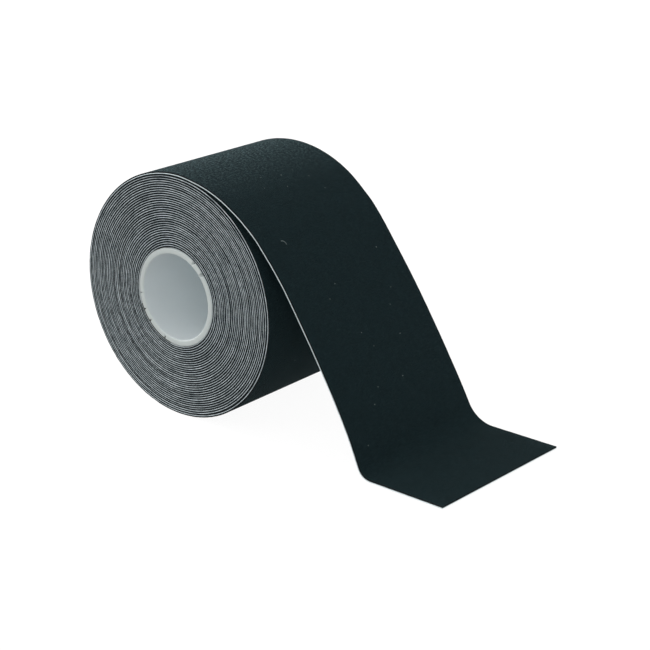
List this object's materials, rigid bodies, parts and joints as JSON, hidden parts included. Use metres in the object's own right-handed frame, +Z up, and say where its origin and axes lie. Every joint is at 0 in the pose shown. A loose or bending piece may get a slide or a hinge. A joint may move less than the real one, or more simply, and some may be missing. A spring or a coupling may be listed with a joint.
{
  "type": "grip tape roll",
  "caption": "Roll of black woven adhesive grip tape with white backing paper on a hollow plastic core, its free end drawn out, creased and lying flat.",
  "frame": {"origin": "on the floor, under the middle of the whole outline: halfway along it and halfway across the tape's width", "axes": "+X from the roll towards the drawn-out end, Y along the roll's axis with the front face at -Y, +Z up"},
  "size_m": [0.1316, 0.05, 0.0721],
  "materials": {
    "fabric_black": "matt close-woven cotton with a slight sheen, adhesive underneath",
    "paper_white": "smooth release paper",
    "plastic_white": "satin moulded plastic, slightly translucent",
    "starter_clear": "thin double-sided tape"
  },
  "bodies": {
    "outer_lap": {"outer_lap_tape": "fabric_black", "outer_lap_paper": "paper_white"},
    "coil": {"core_tube": "plastic_white", "starter_strip": "starter_clear", "wound_tape": "fabric_black", "wound_paper": "paper_white"},
    "drape": {"drape_tape": "fabric_black", "drape_paper": "paper_white"},
    "end": {"end_tape": "fabric_black", "end_paper": "paper_white"},
    "peel_end": {"peel_end_tape": "fabric_black"}
  },
  "joints": [
    {"name": "roll_turn", "type": "hinge", "parent": "outer_lap", "child": "coil", "pos_m": [-0.03014, 0, 0.03562], "axis": [0, 1, 0], "continuous": true},
    {"name": "drape_lift", "type": "hinge", "parent": "outer_lap", "child": "drape", "pos_m": [-0.03172, 0, 0.07167], "axis": [0, -1, 0], "range_deg": [-2, 90]},
    {"name": "end_fold", "type": "hinge", "parent": "drape", "child": "end", "pos_m": [0.0394, 0, 0.00129], "axis": [0, -1, 0], "range_deg": [-60, 60]},
    {"name": "end_peel", "type": "hinge", "parent": "end", "child": "peel_end", "pos_m": [0.05092, 0, 0.00042], "axis": [0, -1, 0], "range_deg": [0, 90]}
  ]
}
